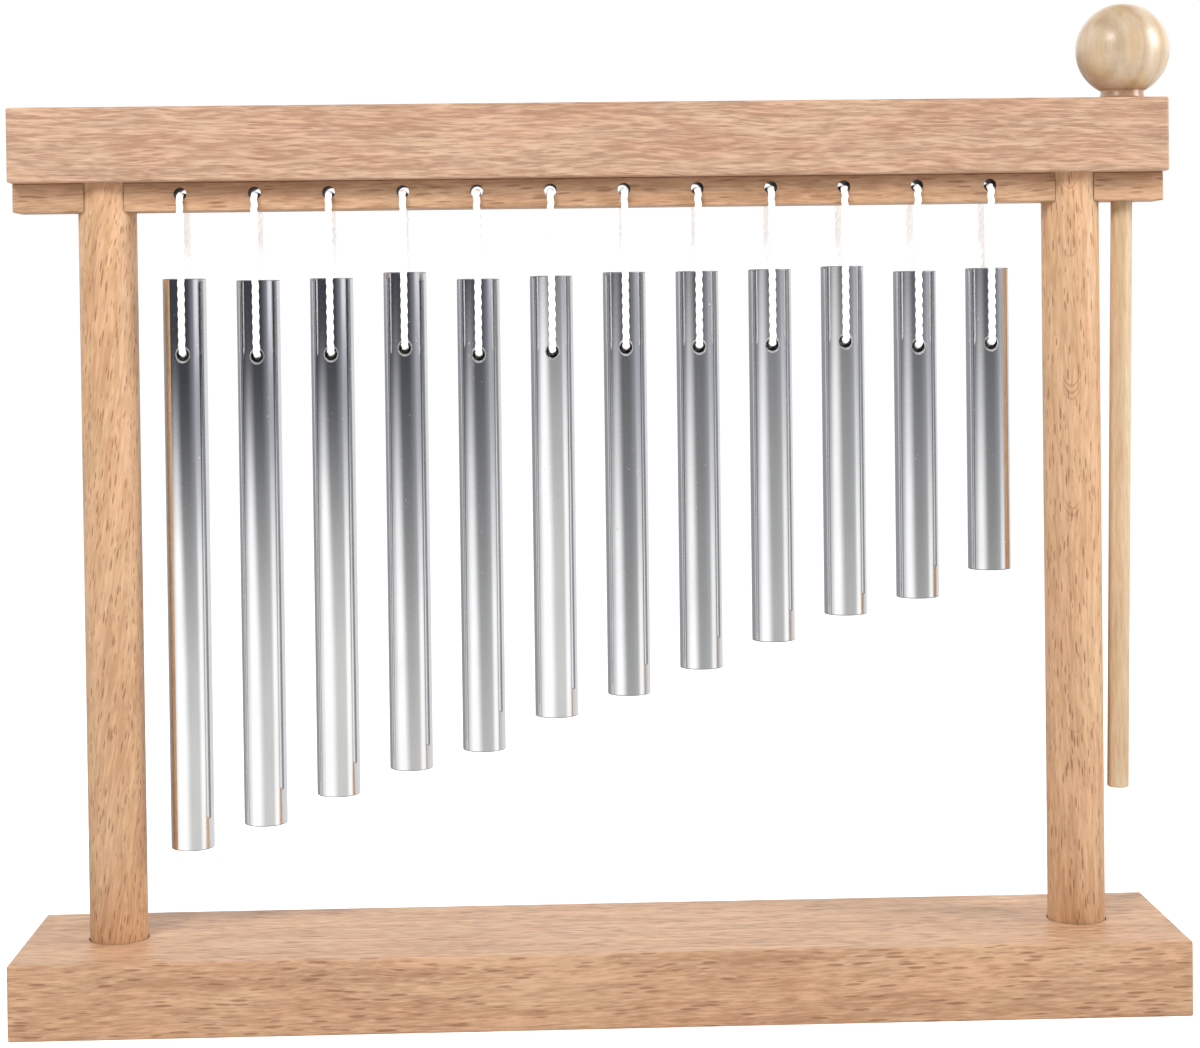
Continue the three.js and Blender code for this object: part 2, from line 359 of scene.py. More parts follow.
def wood_grain():
    """Solid wood, grain along the vector's Z.

    It has streaks, fine fibre, broad clouds, rings, a blush and short dark flecks.
    """
    group, given, result = effect("wood grain", [
        ("Vector", VECTOR, None),
        ("Light wood", COLOUR, (0.8, 0.6, 0.4, 1)),
        ("Dark wood", COLOUR, (0.6, 0.4, 0.25, 1)),
        ("Fleck colour", COLOUR, (0.3, 0.15, 0.08, 1)),
        ("Streaks", FLOAT, 2.2),
        ("Streak width", FLOAT, 0.9 * MM),
        ("Streak length", FLOAT, 11 * MM),
        ("Fibre", FLOAT, 1.3),
        ("Clouds", FLOAT, 1.5),
        ("Blush", COLOUR, (1.0, 0.95, 0.94, 1)),
        ("Pith", VECTOR, (50 * MM, 30 * MM, 0)),
        ("Rings", FLOAT, 0.15),
        ("Ring width", FLOAT, 3 * MM),
        ("Fleck width", FLOAT, 1.2 * MM),
        ("Fleck length", FLOAT, 8 * MM),
        ("Fleck size", FLOAT, 0.25),
        ("Fleck strength", FLOAT, 0.5),
        ("Roughness", FLOAT, 0.5),
    ], [("Color", COLOUR), ("Roughness", FLOAT), ("Height", FLOAT)])
    calc = partial(maths, group)
    vector = partial(vectors, group)

    # The fibres wander a little from the straight
    bends_per_metre = (40, 40, 22)
    wander_size = (4 * MM, 4 * MM, 0.0)
    slow = noise(group, vector("MULTIPLY", given["Vector"], bends_per_metre), detail=2)["Color"]
    wander = vector("MULTIPLY", vector("SUBTRACT", slow, (0.5, 0.5, 0.5)), wander_size)
    wavy = vector("ADD", given["Vector"], wander)

    def stretched(across, along):
        """The place measured in marks that are so wide and so long."""
        return vector("DIVIDE", wavy, xyz(group, across, across, along))

    def marks(across, along, detail, seed):
        """Random marks of a width and length, between -0.5 and 0.5."""
        place = vector("ADD", stretched(across, along), (seed, seed * 1.7, seed * 2.3))
        return calc("SUBTRACT", noise(group, place, detail)["Fac"], 0.5)

    from_pith = vector("MULTIPLY", vector("SUBTRACT", wavy, given["Pith"]), (1, 1, 0))
    distance = add(group, "ShaderNodeVectorMath", {0: from_pith}, operation="LENGTH")
    turn = calc("DIVIDE", distance.outputs["Value"], given["Ring width"])
    ring_sharpness = 3.0
    ring = calc("POWER", wave(group, calc("MULTIPLY", turn, 2 * math.pi)), ring_sharpness)

    streak = marks(given["Streak width"], given["Streak length"], detail=2, seed=3.1)
    fibre = marks(0.4 * MM, 6 * MM, detail=2, seed=11.0)
    cloud = marks(5 * MM, 50 * MM, detail=3, seed=7.7)
    tone = calc("MULTIPLY_ADD", streak, given["Streaks"], 0.5)
    tone = calc("MULTIPLY_ADD", fibre, given["Fibre"], tone)
    tone = calc("MULTIPLY_ADD", cloud, given["Clouds"], tone)
    tone = calc("MULTIPLY_ADD", ring, given["Rings"], tone)
    tone = add(group, "ShaderNodeClamp", {"Value": tone}).outputs[0]
    base = blend_colour(group, tone, given["Light wood"], given["Dark wood"])
    blush_edge = 0.12
    pinker = ramp(group, marks(6 * MM, 30 * MM, detail=2, seed=17.0), -blush_edge, blush_edge)
    base = blend_colour(group, pinker, base, given["Blush"], "MULTIPLY")

    # Each fleck lies round one random point, which gives it a size of its own
    points = add(group, "ShaderNodeTexVoronoi", {
        "Vector": stretched(given["Fleck width"], given["Fleck length"]),
        "Scale": 1.0,
        "Randomness": 1.0,
    }).outputs
    chance = add(group, "ShaderNodeSeparateColor", {0: points["Color"]}).outputs[0]
    size = calc("MULTIPLY", chance, given["Fleck size"])
    past_edge = calc("SUBTRACT", points["Distance"], size)
    fleck = ramp(group, past_edge, start=0.1, end=-0.02, easing="LINEAR")
    fleck_share = calc("MULTIPLY", fleck, given["Fleck strength"])
    colour = blend_colour(group, fleck_share, base, given["Fleck colour"])
    fibre_roughness = 0.25
    roughness = calc("MULTIPLY_ADD", fibre, fibre_roughness, given["Roughness"])
    group.links.new(colour, result["Color"])
    group.links.new(roughness, result["Roughness"])
    group.links.new(calc("SUBTRACT", fibre, fleck), result["Height"])
    return group


def cup_marks(centre_x, places):
    """Small nested cup-shaped marks up a post, each place (height, half height, strength)."""
    group, given, result = effect("cup marks", [("Vector", VECTOR, None)], [("Mask", FLOAT)])
    calc = partial(maths, group)
    shakes_per_metre = 500.0
    shake = 0.7 * MM
    rise_per_square = 520.0
    line_spacing = 1.9 * MM
    line_sharpness = 2.0
    half_width = 3.1 * MM
    full_half_width = 1.4 * MM

    wobble = noise(group, given["Vector"], detail=2, scale=shakes_per_metre)["Color"]
    shaken = vectors(group, "MULTIPLY_ADD", wobble, (shake, shake, shake), given["Vector"])
    place = add(group, "ShaderNodeSeparateXYZ", {"Vector": shaken}).outputs
    aside = calc("SUBTRACT", place["X"], centre_x)
    cup = calc("MULTIPLY_ADD", calc("MULTIPLY", aside, aside), -rise_per_square, place["Z"])
    line = wave(group, calc("MULTIPLY", cup, 2 * math.pi / line_spacing))
    mask = 0.0
    for height, half_height, strength in places:
        away = calc("ABSOLUTE", calc("SUBTRACT", cup, height))
        mask = calc("ADD", mask, ramp(group, away, half_height, 0.5 * half_height, strength))
    middle = ramp(group, calc("ABSOLUTE", aside), half_width, full_half_width)
    mask = calc("MULTIPLY", mask, calc("POWER", line, line_sharpness))
    group.links.new(calc("MULTIPLY", mask, middle), result["Mask"])
    return group


def growing_mask(name, none_at, full_at, strength):
    """A mask that grows along the height from nothing at one level to its strength at another."""
    group, given, result = effect(name, [("Vector", VECTOR, None)], [("Mask", FLOAT)])
    height = add(group, "ShaderNodeSeparateXYZ", {"Vector": given["Vector"]}).outputs["Z"]
    mask = ramp(group, height, none_at, full_at, strength, easing="LINEAR")
    group.links.new(mask, result["Mask"])
    return group


def drawn_metal():
    """Metal tube with faint lines along Z, a soft haze, sparse specks and raw metal, which is
    rougher and darkened with painted shade.
    """
    group, given, result = effect("drawn metal", [
        ("Vector", VECTOR, None),
        ("Clean metal", COLOUR, (0.8, 0.8, 0.82, 1)),
        ("Dull metal", COLOUR, (0.6, 0.6, 0.62, 1)),
        ("Polish", FLOAT, 0.1),
        ("Haze", FLOAT, 0.08),
        ("Raw", FLOAT, 0.0),
        ("Shaded raw metal", COLOUR, (0.3, 0.3, 0.31, 1)),
    ], [("Color", COLOUR), ("Roughness", FLOAT), ("Height", FLOAT)])
    calc = partial(maths, group)

    def marks(across, along, detail):
        per_metre = (1 / across, 1 / across, 1 / along)
        place = vectors(group, "MULTIPLY", given["Vector"], per_metre)
        return noise(group, place, detail)["Fac"]

    lines = marks(0.4 * MM, 60 * MM, detail=3)
    haze = marks(6 * MM, 20 * MM, detail=4)
    fine = marks(0.7 * MM, 1.2 * MM, detail=1)
    specks = ramp(group, fine, start=0.74, end=0.82, easing="LINEAR")
    speck_colour = (0.9, 0.9, 0.92, 1)
    speck_share = 0.5
    speck_roughness = 0.25
    raw_roughness = 0.4
    fine_height = 0.25

    tone = blend_colour(group, haze, given["Clean metal"], given["Dull metal"])
    tone = blend_colour(group, calc("MULTIPLY", specks, speck_share), tone, speck_colour)
    # Painted shade: raw faces turn to the darker raw metal colour
    tone = blend_colour(group, given["Raw"], tone, given["Shaded raw metal"])
    dull = calc("MULTIPLY_ADD", haze, given["Haze"], given["Polish"])
    dull = calc("MULTIPLY_ADD", specks, speck_roughness, dull)
    dull = calc("MULTIPLY_ADD", given["Raw"], raw_roughness, dull)
    group.links.new(tone, result["Color"])
    group.links.new(dull, result["Roughness"])
    group.links.new(calc("MULTIPLY_ADD", fine, fine_height, lines), result["Height"])
    return group


# Materials

WOOD_GRAIN = wood_grain()
DRAWN_METAL = drawn_metal()
# Painted shade in the holes: the bore walls blend near black
BORE_PAINTED_SHADE = (0.05, 0.028, 0.016, 1)
BORE_SHADE_SHARE = 0.9
FIBRE_DEPTH = 0.2 * MM
DRAWN_LINE_DEPTH = 0.1 * MM
YARN_DEPTH = 0.3 * MM
YARN_LENGTH = 1.5 * MM
YARNS_AROUND = 14


def empty_material(name):
    material = bpy.data.materials.new(name)
    material.use_nodes = True
    material.node_tree.nodes.clear()
    return material, material.node_tree


def object_place(tree):
    return tree.nodes.new("ShaderNodeTexCoord").outputs["Object"]


def carried(tree, name):
    """A value that the mesh carries under a name."""
    return add(tree, "ShaderNodeAttribute", attribute_name=name).outputs["Fac"]


def surface_shader(tree, constants):
    """The surface shader, linked to the material's output."""
    surface = add(tree, "ShaderNodeBsdfPrincipled", constants)
    output = tree.nodes.new("ShaderNodeOutputMaterial")
    tree.links.new(surface.outputs[0], output.inputs[0])
    return surface


def raise_relief(tree, surface, height, strength, depth):
    relief = add(tree, "ShaderNodeBump", {
        "Strength": strength, "Distance": depth, "Height": height,
    })
    tree.links.new(relief.outputs[0], surface.inputs["Normal"])


def finish_with(tree, done, bump, depth, **constants):
    """The surface shader fed by an effect's colour, roughness and height."""
    surface = surface_shader(tree, constants)
    tree.links.new(done.outputs["Color"], surface.inputs["Base Color"])
    tree.links.new(done.outputs["Roughness"], surface.inputs["Roughness"])
    raise_relief(tree, surface, done.outputs["Height"], bump, depth)
    return surface


def wood(name, along, looks, bump=0.25, coat=0.0, shift=(0, 0, 0), slope=0.0, figure_or_painted_shade=None):
    """A wood with its grain along X or Z, at a slope; the looks are the grain's own sockets."""
    material, tree = empty_material(name)
    turn = (0, (math.pi / 2 if along == "X" else 0) + math.radians(slope), 0)
    coords = object_place(tree)
    place = add(tree, "ShaderNodeMapping", {
        "Vector": coords, "Rotation": turn, "Location": shift,
    }).outputs[0]
    grain = add(tree, "ShaderNodeGroup", node_tree=WOOD_GRAIN)
    plug(tree, place, grain.inputs["Vector"])
    for label, value in looks.items():
        plug(tree, value, grain.inputs[label])
    surface = finish_with(tree, grain, bump, FIBRE_DEPTH,
                          **{"Coat Weight": coat, "Coat Roughness": 0.28})
    # Painted shade on the bore walls
    bored = maths(tree, "MULTIPLY", carried(tree, "bored"), BORE_SHADE_SHARE)
    colour = blend_colour(tree, bored, grain.outputs["Color"], BORE_PAINTED_SHADE)
    # The figure is cup marks in the grain, or painted shade on the rail's top and the ball's foot
    if figure_or_painted_shade:
        mask = add(tree, "ShaderNodeGroup", {"Vector": coords}, node_tree=figure_or_painted_shade).outputs[0]
        colour = blend_colour(tree, mask, colour, looks["Fleck colour"])
    tree.links.new(colour, surface.inputs["Base Color"])
    return material


BASE_LOOKS = {
    "Light wood": (0.7, 0.445, 0.27, 1),
    "Dark wood": (0.45, 0.255, 0.14, 1),
    "Fleck colour": (0.22, 0.1, 0.045, 1),
    "Streaks": 1.6,
    "Streak length": 6 * MM,
    "Fibre": 1.9,
    "Fleck strength": 0.6,
    "Fleck width": 1.1 * MM,
    "Fleck length": 9 * MM,
    "Fleck size": 0.3,
}
BEAM_LOOKS = {
    "Light wood": (0.67, 0.45, 0.305, 1),
    "Dark wood": (0.42, 0.25, 0.16, 1),
    "Fleck colour": (0.3, 0.14, 0.08, 1),
    "Streaks": 2.2,
    "Streak width": 0.8 * MM,
    "Streak length": 9 * MM,
    "Fibre": 2.3,
    "Blush": (1.0, 0.94, 0.93, 1),
    "Fleck strength": 0.45,
    "Fleck width": 0.9 * MM,
    "Fleck length": 8 * MM,
}
POST_LOOKS = {
    "Light wood": (0.74, 0.475, 0.275, 1),
    "Dark wood": (0.53, 0.31, 0.165, 1),
    "Fleck colour": (0.3, 0.13, 0.055, 1),
    "Streaks": 1.7,
    "Fibre": 1.8,
    "Fleck strength": 0.8,
    "Fleck length": 5.6 * MM,
    "Fleck width": 0.7 * MM,
    "Fleck size": 0.32,
}
ROD_LOOKS = {
    "Light wood": (0.71, 0.55, 0.36, 1),
    "Dark wood": (0.54, 0.38, 0.22, 1),
    "Fleck colour": (0.45, 0.25, 0.12, 1),
    "Streaks": 1.6,
    "Fleck strength": 0.2,
}
BALL_LOOKS = {
    "Light wood": (0.72, 0.59, 0.44, 1),
    "Dark wood": (0.5, 0.36, 0.23, 1),
    "Fleck colour": (0.42, 0.24, 0.14, 1),
    "Streaks": 0.5,
    "Streak width": 2 * MM,
    "Streak length": 20 * MM,
    "Fibre": 0.6,
    "Clouds": 1.4,
    "Blush": (1.0, 0.93, 0.78, 1),
    "Pith": (560 * MM, 120 * MM, 0),
    "Rings": 0.35,
    "Ring width": 6 * MM,
    "Fleck strength": 0.2,
    "Roughness": 0.35,
}
POST_SHIFT = (0.3, 0.1, 0.2)
# The right post's cup marks, each with its height, its half height and its strength
CUPS_X = 133.1 * MM
CUPS = (
    (170 * MM, 3.5 * MM, 0.5),
    (208 * MM, 1 * MM, 0.3),
    (226 * MM, 1.6 * MM, 0.35),
    (136.5 * MM, 2 * MM, 0.4),
    (75 * MM, 1.2 * MM, 0.3),
)


def beech_base_board():
    return wood("beech base board", "X", BASE_LOOKS, slope=1)


def beech_rail():
    """The base board's beech, with painted shade darkening it towards its top, under the beam."""
    top = box_of("hanging_rail")[1].z
    # Painted shade of the beam on the rail, blending the top 2.6 mm towards the fleck colour
    shade_under_beam = growing_mask("painted shade under beam", top - 2.6 * MM, top, strength=0.6)
    return wood("beech hanging rail", "X", BASE_LOOKS, shift=(0.1, 0.2, 0.3), slope=1,
                figure_or_painted_shade=shade_under_beam)


def beech_beam():
    return wood("beech beam", "X", BEAM_LOOKS, shift=(0.02, 0.01, 0.3), slope=-0.7)


def beech_post():
    return wood("beech dowel post", "Z", POST_LOOKS, shift=POST_SHIFT, slope=-9)


def figured_beech_post():
    return wood("figured beech dowel post", "Z", POST_LOOKS, shift=POST_SHIFT, slope=1.5,
                figure_or_painted_shade=cup_marks(CUPS_X, CUPS))


def birch_rod():
    return wood("birch rod", "Z", ROD_LOOKS, shift=(0.1, 0.4, 0.1))


def maple_ball():
    """Pale lacquered maple, with painted shade under the ball and a painted reflection of the beam
    darkening the foot.
    """
    foot_top = mallet_place().translation.z + BALL_FOOT_HEIGHT
    # Painted shade on the foot, blending it towards the fleck colour
    foot_painted_shade = growing_mask("painted shade on foot", foot_top + 0.6 * MM, foot_top - 0.4 * MM, strength=0.85)
    return wood("turned maple ball", "Z", BALL_LOOKS, coat=0.45, bump=0.05,
                shift=(0.5, 0.2, 0.1), figure_or_painted_shade=foot_painted_shade)


def polished_aluminium():
    material, tree = empty_material("polished aluminium tube")
    metal = add(tree, "ShaderNodeGroup", node_tree=DRAWN_METAL)
    # The raw faces get painted shade as well as a rougher finish
    looks = {
        "Vector": object_place(tree),
        "Raw": carried(tree, "raw_and_shaded"),
        "Clean metal": (0.84, 0.842, 0.85, 1),
        "Dull metal": (0.71, 0.712, 0.72, 1),
        "Polish": 0.045,
        "Haze": 0.07,
    }
    for label, value in looks.items():
        plug(tree, value, metal.inputs[label])
    finish_with(tree, metal, bump=0.06, depth=DRAWN_LINE_DEPTH, Metallic=1.0)
    return material


def white_laid_cord():
    material, tree = empty_material("white laid cord")
    around = maths(tree, "MULTIPLY", carried(tree, "around"), YARNS_AROUND)
    along = maths(tree, "DIVIDE", carried(tree, "along"), YARN_LENGTH)
    yarn = noise(tree, xyz(tree, around, along, 0.0), detail=3)["Fac"]
    colour = blend_colour(tree, yarn, (1.0, 0.995, 0.99, 1), (0.88, 0.87, 0.86, 1))
    # Outside the tube and the rail the cord has a painted glow to the camera, which lightens its
    # shaded strands though it is no lamp
    seen = tree.nodes.new("ShaderNodeLightPath").outputs["Is Camera Ray"]
    # Painted glow, for camera rays only and outside the tube and rail
    painted_glow = maths(tree, "MULTIPLY", seen, carried(tree, "outside"))
    surface = surface_shader(tree, {
        "Base Color": colour,
        "Roughness": 0.9,
        "Sheen Weight": 0.3,
        "Subsurface Weight": 0.6,
        "Subsurface Radius": (1, 1, 1),
        "Subsurface Scale": 2 * MM,
        "Emission Color": blend_colour(tree, painted_glow, grey(0), colour),
        "Emission Strength": CORD_PAINTED_GLOW,
    })
    raise_relief(tree, surface, yarn, strength=0.4, depth=YARN_DEPTH)
    return material


# Geometry Nodes for the tubes and the cords

GEOMETRY = "NodeSocketGeometry"
MATERIAL = "NodeSocketMaterial"
COUNT = "NodeSocketInt"


def maker(name, inputs):
    """An empty geometry tree with named inputs, and its input and output nodes."""
    tree = bpy.data.node_groups.new(name, "GeometryNodeTree")
    tree.interface.new_socket("Geometry", in_out="INPUT", socket_type=GEOMETRY)
    for label, kind in inputs:
        tree.interface.new_socket(label, in_out="INPUT", socket_type=kind)
    tree.interface.new_socket("Geometry", in_out="OUTPUT", socket_type=GEOMETRY)
    given = tree.nodes.new("NodeGroupInput").outputs
    result = tree.nodes.new("NodeGroupOutput").inputs
    return tree, given, result


def shape_node(tree, kind, inputs, **settings):
    """The geometry that a node makes."""
    return add(tree, "GeometryNode" + kind, inputs, **settings).outputs[0]


def close_tree(tree, geometry, given, result):
    """Ends a tree in Realize Instances and Set Material."""
    real = shape_node(tree, "RealizeInstances", {"Geometry": geometry})
    painted = shape_node(tree, "SetMaterial", {"Geometry": real, "Material": given["Material"]})
    tree.links.new(painted, result["Geometry"])


def made_by(tree, name, start, values):
    """The mesh that a tree makes from a start mesh and values for its named inputs."""
    piece = loose(name, start)
    modifier = piece.modifiers.new("maker", "NODES")
    modifier.node_group = tree
    for item in tree.interface.items_tree:
        if item.item_type == "SOCKET" and item.in_out == "INPUT" and item.name in values:
            modifier[item.identifier] = values[item.name]
    return taken(piece)


def tube_maker():
    """An open tube hung from its top, with a countersunk hole through both walls."""
    tree, given, result = maker("chime tube", [
        ("Top", VECTOR),
        ("Length", FLOAT),
        ("Radius", FLOAT),
        ("Wall", FLOAT),
        ("Rim break", FLOAT),
        ("Hole radius", FLOAT),
        ("Hole below top", FLOAT),
        ("Countersink", FLOAT),
        ("Sides", COUNT),
        ("Material", MATERIAL),
    ])
    calc = partial(maths, tree)
    shape = partial(shape_node, tree)

    def placed(geometry, y, z, turn=(0, 0, 0)):
        return shape("Transform", {
            "Geometry": geometry, "Translation": xyz(tree, 0.0, y, z), "Rotation": turn,
        })

    middle = calc("SUBTRACT", given["Radius"], calc("MULTIPLY", given["Wall"], 0.5))
    ring = shape("CurvePrimitiveCircle", {"Resolution": given["Sides"], "Radius": middle})
    section = shape("CurvePrimitiveQuadrilateral", {
        "Width": given["Wall"], "Height": given["Length"],
    })
    section = shape("FilletCurve", {
        "Curve": section, "Radius": given["Rim break"], "Limit Radius": True, "Count": 3,
    }, mode="POLY")
    tube = shape("CurveToMesh", {"Curve": ring, "Profile Curve": section})
    tube = placed(tube, 0.0, calc("MULTIPLY", given["Length"], -0.5))

    drop = calc("MULTIPLY", given["Hole below top"], -1.0)
    quarter = (math.pi / 2, 0, 0)
    pin = shape("MeshCylinder", {
        "Vertices": TUBE_HOLE_SIDES,
        "Radius": given["Hole radius"],
        "Depth": calc("MULTIPLY", given["Radius"], 4.0),
    })
    cutters = [placed(pin, 0.0, drop, quarter)]
    wide = calc("MULTIPLY_ADD", given["Countersink"], 2.0, given["Hole radius"])
    for side in (-1, 1):
        flare = shape("MeshCone", {
            "Vertices": TUBE_HOLE_SIDES,
            "Depth": calc("MULTIPLY", given["Countersink"], 2.0),
            "Radius Top": wide if side < 0 else given["Hole radius"],
            "Radius Bottom": given["Hole radius"] if side < 0 else wide,
        })
        # The cone stands on its base, and a quarter turn about X lays its top towards -Y
        foot = calc("MULTIPLY_ADD", given["Radius"], side, given["Countersink"])
        cutters.append(placed(flare, foot, drop, quarter))
    bored = add(tree, "GeometryNodeMeshBoolean", {"Mesh 1": tube},
                operation="DIFFERENCE", solver="EXACT")
    for cutter in cutters:
        tree.links.new(cutter, bored.inputs["Mesh 2"])
    hung = shape("Transform", {"Geometry": bored.outputs[0], "Translation": given["Top"]})
    close_tree(tree, hung, given, result)
    return tree


def cord_maker():
    """Strands laid together along the edges of the mesh it is given."""
    tree, given, result = maker("laid cord", [
        ("Radius", FLOAT),
        ("Lay", FLOAT),
        ("Step", FLOAT),
        ("Groove", FLOAT),
        ("Snaking", FLOAT),
        ("Material", MATERIAL),
    ])
    calc = partial(maths, tree)
    shape = partial(shape_node, tree)

    def marked(geometry, name, value):
        return shape("StoreNamedAttribute", {
            "Geometry": geometry, "Name": name, "Value": value,
        }, data_type="FLOAT", domain="POINT")

    line = shape("MeshToCurve", {"Mesh": given["Geometry"]})
    line = shape("ResampleCurve", {"Curve": line, "Length": given["Step"]}, mode="LENGTH")
    length = tree.nodes.new("GeometryNodeSplineParameter").outputs["Length"]
    turns = calc("DIVIDE", length, given["Lay"])
    line = shape("SetCurveTilt", {
        "Curve": line, "Tilt": calc("MULTIPLY", turns, 2 * math.pi),
    })
    line = marked(line, "along", length)

    # The section has a lobe for each strand and grooves between them
    section = shape("CurvePrimitiveCircle", {"Resolution": CORD_SIDES, "Radius": given["Radius"]})
    index = tree.nodes.new("GeometryNodeInputIndex").outputs[0]
    angle = calc("MULTIPLY", index, 2 * math.pi / CORD_SIDES)
    lobe = calc("ABSOLUTE", calc("COSINE", calc("MULTIPLY", angle, CORD_STRANDS / 2)))
    sunk = calc("MULTIPLY", given["Groove"], calc("SUBTRACT", 1.0, lobe))
    spot = tree.nodes.new("GeometryNodeInputPosition").outputs[0]
    spot = add(tree, "ShaderNodeVectorMath", {
        0: spot, "Scale": calc("SUBTRACT", 1.0, sunk),
    }, operation="SCALE").outputs[0]
    section = shape("SetPosition", {"Geometry": section, "Position": spot})
    section = marked(section, "around", calc("DIVIDE", index, CORD_SIDES))

    # The cord snakes a little about its line as its strands turn
    bump = calc("MULTIPLY", turns, 2 * math.pi * CORD_STRANDS)
    snake = xyz(tree, calc("MULTIPLY", calc("SINE", bump), given["Snaking"]), 0.0, 0.0)
    line = shape("SetPosition", {"Geometry": line, "Offset": snake})
    cord = shape("CurveToMesh", {"Curve": line, "Profile Curve": section, "Fill Caps": True})
    cord = shape("SetShadeSmooth", {"Geometry": cord})
    close_tree(tree, cord, given, result)
    return tree


# The stand

def post_bores(low, high):
    """Cutters for both posts between two heights."""
    spots = []
    for node in ("post_left", "post_right"):
        start, end = box_of(node)
        radius = (end.x - start.x) / 2 + SOCKET_CLEARANCE
        centre = Vector((middle_of(node).x, 0, (low + high) / 2))
        spots.append((centre, radius, high - low, (0, 0, 1)))
    return spots


def mallet_bore():
    low, high = box_of("top_beam")
    centre = Vector((MALLET_BORE_X, 0, high.z))
    return (centre, MALLET_BORE_RADIUS, 4 * (high.z - low.z), (0, 0, 1))


def make_base(material):
    low, high = box_of("base_board")
    sockets = post_bores(high.z - BASE_SOCKET_DEPTH, 2 * high.z)
    board = cut(eased_board("base_board_wood", low, high, BOARD_EASE), sockets)
    show("base_board_wood", flat_faced(board), material, "stand", "beech_board", "base_board")


def make_beam(material):
    low, high = box_of("top_beam")
    bores = post_bores(0, low.z + BEAM_SOCKET_DEPTH) + [mallet_bore()]
    board = cut(eased_board("top_beam_wood", low, high, BOARD_EASE), bores)
    show("top_beam_wood", flat_faced(board), material, "stand", "beech_board", "top_beam")


def rail_hole_height():
    return box_of("hanging_rail")[0].z + RAIL_HOLE_ABOVE_EDGE


def make_rail(material):
    low = box_of("rail_end_left")[0]
    high = box_of("rail_end_right")[1]
    left_post = middle_of("post_left").x
    right_post = middle_of("post_right").x
    stretches = {
        "rail_end_left": (low.x, left_post),
        "hanging_rail": (left_post, right_post),
        "rail_end_right": (right_post, high.x),
    }
    for node, (left, right) in stretches.items():
        start = Vector((left, low.y, low.z))
        end = Vector((right, high.y, high.z))
        strip = eased_board(node + "_wood", start, end, RAIL_EASE)
        bores = post_bores(0, 2 * high.z)
        if node == "hanging_rail":
            for number in range(1, CHIMES + 1):
                spot = Vector((chime_x(number), 0, rail_hole_height()))
                bores.append((spot, CORD_HOLE_RADIUS, 2 * (high.y - low.y), (0, 1, 0)))
        if node == "rail_end_right":
            bores.append(mallet_bore())
        strip = flat_faced(cut(strip, bores))
        show(node + "_wood", strip, material, "stand", "beech_board", node)


def make_posts(materials):
    for node, material in zip(("post_left", "post_right"), materials):
        low, high = box_of(node)
        mesh = dowel(node + "_wood", (high.x - low.x) / 2, low.z, high.z, POST_END_BREAK)
        mesh.transform(Matrix.Translation((middle_of(node).x, 0, 0)))
        show(node + "_wood", soften(mesh), material, "stand", "beech_dowel", node)


# The chimes

def chime_x(number):
    return middle_of("chime_tube_%02d" % number).x


def mark_raw_and_shaded(mesh, low, high):
    """Marks the faces that the polish leaves out: the inside, the hole's wall and the cut ends. The
    metal makes them rougher and darkens them with painted shade.
    """
    middle = (low + high) / 2
    mid_wall = (high.y - low.y - TUBE_WALL) / 2
    end = (high.z - low.z) / 2 - TUBE_RIM_BREAK
    marks = mesh.attributes.new("raw_and_shaded", "FLOAT", "FACE").data
    for face, mark in zip(mesh.polygons, marks):
        spot = face.center - middle
        mark.value = float(math.hypot(spot.x, spot.y) < mid_wall or abs(spot.z) > end)


def true_tube_shading(mesh, top, radius, lean):
    """Normals straight out from the axis on the round walls, as a true cylinder has them."""
    inner = radius - TUBE_WALL
    steepest = 0.3
    soften(mesh, crease_degrees=25)
    normals = [corner.vector.copy() for corner in mesh.corner_normals]
    for face in mesh.polygons:
        corners = [mesh.vertices[i].co for i in face.vertices]
        arms = [Vector((co.x - top.x, co.y, 0)) for co in corners]
        outside = all(abs(arm.length - radius) < ON_WALL for arm in arms)
        inside = all(abs(arm.length - inner) < ON_WALL for arm in arms)
        if not (outside or inside) or abs(face.normal.z) > steepest:
            continue
        for loop, co, arm in zip(face.loop_indices, corners, arms):
            degrees = lean[0] + lean[1] * (top.z - co.z) / LEAN_SPAN
            tilt = Matrix.Rotation(math.radians(degrees), 3, "X")
            normals[loop] = tilt @ (arm.normalized() if outside else -arm.normalized())
    mesh.normals_split_custom_set(normals)


def make_tubes(material):
    tree = tube_maker()
    for number in range(1, CHIMES + 1):
        node = "chime_tube_%02d" % number
        name = node + "_metal"
        low, high = box_of(node)
        radius = (high.y - low.y) / 2
        top = Vector((chime_x(number), 0, high.z))
        mesh = made_by(tree, name, bpy.data.meshes.new(name), {
            "Top": top,
            "Length": high.z - low.z,
            "Radius": radius,
            "Wall": TUBE_WALL,
            "Rim break": TUBE_RIM_BREAK,
            "Hole radius": CORD_HOLE_RADIUS,
            "Hole below top": TUBE_HOLE_BELOW_TOP,
            "Countersink": COUNTERSINK,
            "Sides": TUBE_SIDES,
            "Material": material,
        })
        true_tube_shading(mesh, top, radius, TUBE_LEAN[number - 1])
        mark_raw_and_shaded(mesh, low, high)
        show(name, mesh, material, "chime_%02d" % number, "chime_metal", node)


